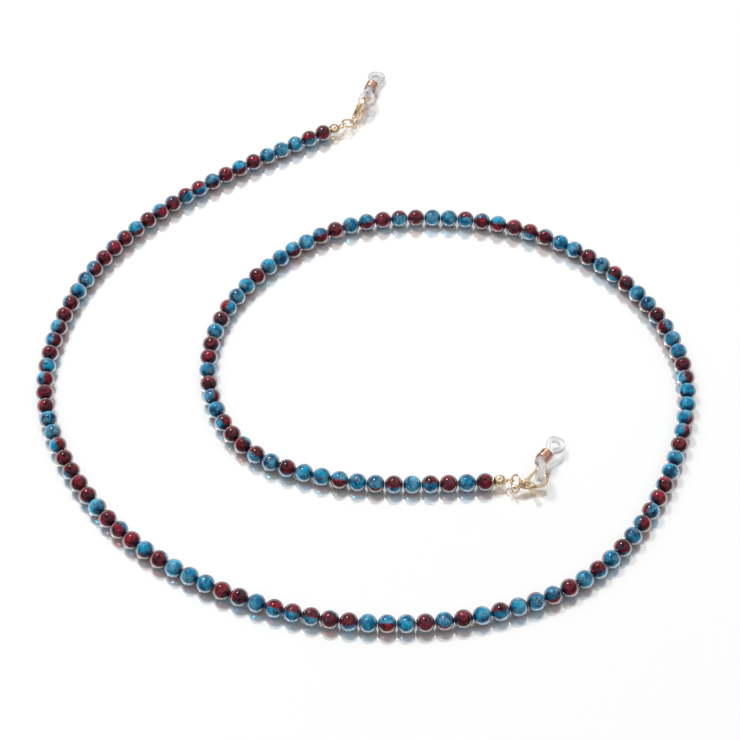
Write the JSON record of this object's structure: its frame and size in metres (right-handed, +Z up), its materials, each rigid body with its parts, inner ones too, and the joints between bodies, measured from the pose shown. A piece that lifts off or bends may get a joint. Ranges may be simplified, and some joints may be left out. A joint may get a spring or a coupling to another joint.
{
  "type": "eyeglass retainer strap",
  "caption": "Beaded eyeglass chain of round two-tone glass beads on a wire, with a lobster clasp and a clear silicone temple loop with a sliding coil at each end.",
  "frame": {"origin": "middle of the box on the table plane, under the laid-out spiral", "axes": "+Z up from the table, +Y towards the outer end's temple loop, +X to the right, so that the strand runs round anticlockwise from the outer end"},
  "size_m": [0.2201, 0.2564, 0.0099],
  "materials": {
    "bead_glass": "glossy two-tone crackle glass, half garnet and half teal blue",
    "stringing_wire": "fine nylon-coated steel beading wire",
    "silicone": "clear soft silicone, slightly milky",
    "rose_gold_wire": "polished rose-gold coloured wire",
    "spring_steel": "plain spring steel and soft crimp metal",
    "gold_plate": "polished light gold plating"
  },
  "bodies": {
    "strand": {"stringing_wire": "stringing_wire", "beads_003_to_006": "bead_glass", "beads_007_to_010": "bead_glass", "beads_011_to_014": "bead_glass", "beads_015_to_018": "bead_glass", "beads_019_to_022": "bead_glass", "beads_023_to_026": "bead_glass", "beads_027_to_030": "bead_glass", "beads_031_to_034": "bead_glass", "beads_035_to_038": "bead_glass", "beads_039_to_042": "bead_glass", "beads_043_to_046": "bead_glass", "beads_047_to_050": "bead_glass", "beads_051_to_054": "bead_glass", "beads_055_to_058": "bead_glass", "beads_059_to_062": "bead_glass", "beads_063_to_066": "bead_glass", "beads_067_to_070": "bead_glass", "beads_071_to_074": "bead_glass", "beads_075_to_078": "bead_glass", "beads_079_to_082": "bead_glass", "beads_083_to_086": "bead_glass", "beads_087_to_090": "bead_glass", "beads_091_to_094": "bead_glass", "beads_095_to_098": "bead_glass", "beads_099_to_102": "bead_glass", "beads_103_to_106": "bead_glass", "beads_107_to_110": "bead_glass", "beads_111_to_114": "bead_glass", "beads_115_to_118": "bead_glass", "beads_119_to_122": "bead_glass", "beads_123_to_126": "bead_glass", "beads_127_to_130": "bead_glass", "beads_131_to_134": "bead_glass", "beads_135_to_138": "bead_glass", "beads_139_to_142": "bead_glass", "crimp_tube_a": "spring_steel", "bead_tip_a": "gold_plate", "crimp_tube_b": "spring_steel", "bead_tip_b": "gold_plate"},
    "bead_001_body": {"bead_001": "bead_glass"},
    "bead_002_body": {"bead_002": "bead_glass"},
    "bead_143_body": {"bead_143": "bead_glass"},
    "bead_144_body": {"bead_144": "bead_glass"},
    "jump_ring_a_body": {"jump_ring_a": "gold_plate"},
    "clasp_a_body": {"clasp_body_a": "gold_plate", "clasp_pin_a": "gold_plate", "clasp_spring_a": "spring_steel"},
    "clasp_lever_a_body": {"clasp_lever_a": "gold_plate"},
    "silicone_loop_a_body": {"silicone_loop_a": "silicone"},
    "loop_coil_a_body": {"loop_coil_a": "rose_gold_wire"},
    "jump_ring_b_body": {"jump_ring_b": "gold_plate"},
    "clasp_b_body": {"clasp_body_b": "gold_plate", "clasp_pin_b": "gold_plate", "clasp_spring_b": "spring_steel"},
    "clasp_lever_b_body": {"clasp_lever_b": "gold_plate"},
    "silicone_loop_b_body": {"silicone_loop_b": "silicone"},
    "loop_coil_b_body": {"loop_coil_b": "rose_gold_wire"}
  },
  "joints": [
    {"name": "bead_001_spin", "type": "hinge", "parent": "strand", "child": "bead_001_body", "pos_m": [-0.01636, 0.0929, 0.003], "axis": [-0.8654, -0.501, 0], "continuous": true},
    {"name": "bead_002_spin", "type": "hinge", "parent": "strand", "child": "bead_002_body", "pos_m": [-0.02145, 0.08995, 0.003], "axis": [-0.8654, -0.501, 0], "continuous": true},
    {"name": "bead_143_spin", "type": "hinge", "parent": "strand", "child": "bead_143_body", "pos_m": [0.03197, -0.07046, 0.003], "axis": [0.9968, 0.0797, 0], "continuous": true},
    {"name": "bead_144_spin", "type": "hinge", "parent": "strand", "child": "bead_144_body", "pos_m": [0.03783, -0.06999, 0.003], "axis": [0.9968, 0.0797, 0], "continuous": true},
    {"name": "ring_swing_a", "type": "hinge", "parent": "strand", "child": "jump_ring_a_body", "pos_m": [-0.0079, 0.09779, 0.003], "axis": [0, 0, -1], "range_deg": [-35, 35]},
    {"name": "clasp_swing_a", "type": "hinge", "parent": "jump_ring_a_body", "child": "clasp_a_body", "pos_m": [-0.00591, 0.09958, 0.00263], "axis": [-0.071, -0.123, -0.9899], "range_deg": [-35, 35]},
    {"name": "lever_press_a", "type": "hinge", "parent": "clasp_a_body", "child": "clasp_lever_a_body", "pos_m": [-0.00334, 0.10404, 0.00313], "axis": [0.866, -0.5, 0], "range_deg": [0, 18], "stiffness_Nm_per_rad": 0.003, "springref_deg": -17.19},
    {"name": "loop_swing_a", "type": "hinge", "parent": "clasp_a_body", "child": "silicone_loop_a_body", "pos_m": [0.00014, 0.11006, 0.00387], "axis": [0.0073, 0.0518, 0.9986], "range_deg": [-25, 0]},
    {"name": "coil_slide_a", "type": "slide", "parent": "silicone_loop_a_body", "child": "loop_coil_a_body", "axis": [0.2706, 0.9436, -0.1908], "range_m": [-0.0008, 0.0008]},
    {"name": "ring_swing_b", "type": "hinge", "parent": "strand", "child": "jump_ring_b_body", "pos_m": [0.04729, -0.0699, 0.00347], "axis": [0.6587, 0.6338, -0.4056], "range_deg": [-25, 8]},
    {"name": "clasp_swing_b", "type": "hinge", "parent": "jump_ring_b_body", "child": "clasp_b_body", "pos_m": [0.04804, -0.0717, 0.00338], "axis": [0.988, 0.0747, -0.1351], "range_deg": [-5, 30]},
    {"name": "lever_press_b", "type": "hinge", "parent": "clasp_b_body", "child": "clasp_lever_b_body", "pos_m": [0.05178, -0.07103, 0.00326], "axis": [-0.1484, 0.699, -0.6996], "range_deg": [0, 3], "stiffness_Nm_per_rad": 0.003, "springref_deg": -17.19},
    {"name": "loop_swing_b", "type": "hinge", "parent": "clasp_b_body", "child": "silicone_loop_b_body", "pos_m": [0.05602, -0.06717, 0.00622], "axis": [-0.9646, 0.0506, 0.2588], "range_deg": [-30, 5]},
    {"name": "coil_slide_b", "type": "slide", "parent": "silicone_loop_b_body", "child": "loop_coil_b_body", "axis": [0.5507, 0.8164, -0.1737], "range_m": [-0.0008, 0.0008]}
  ]
}
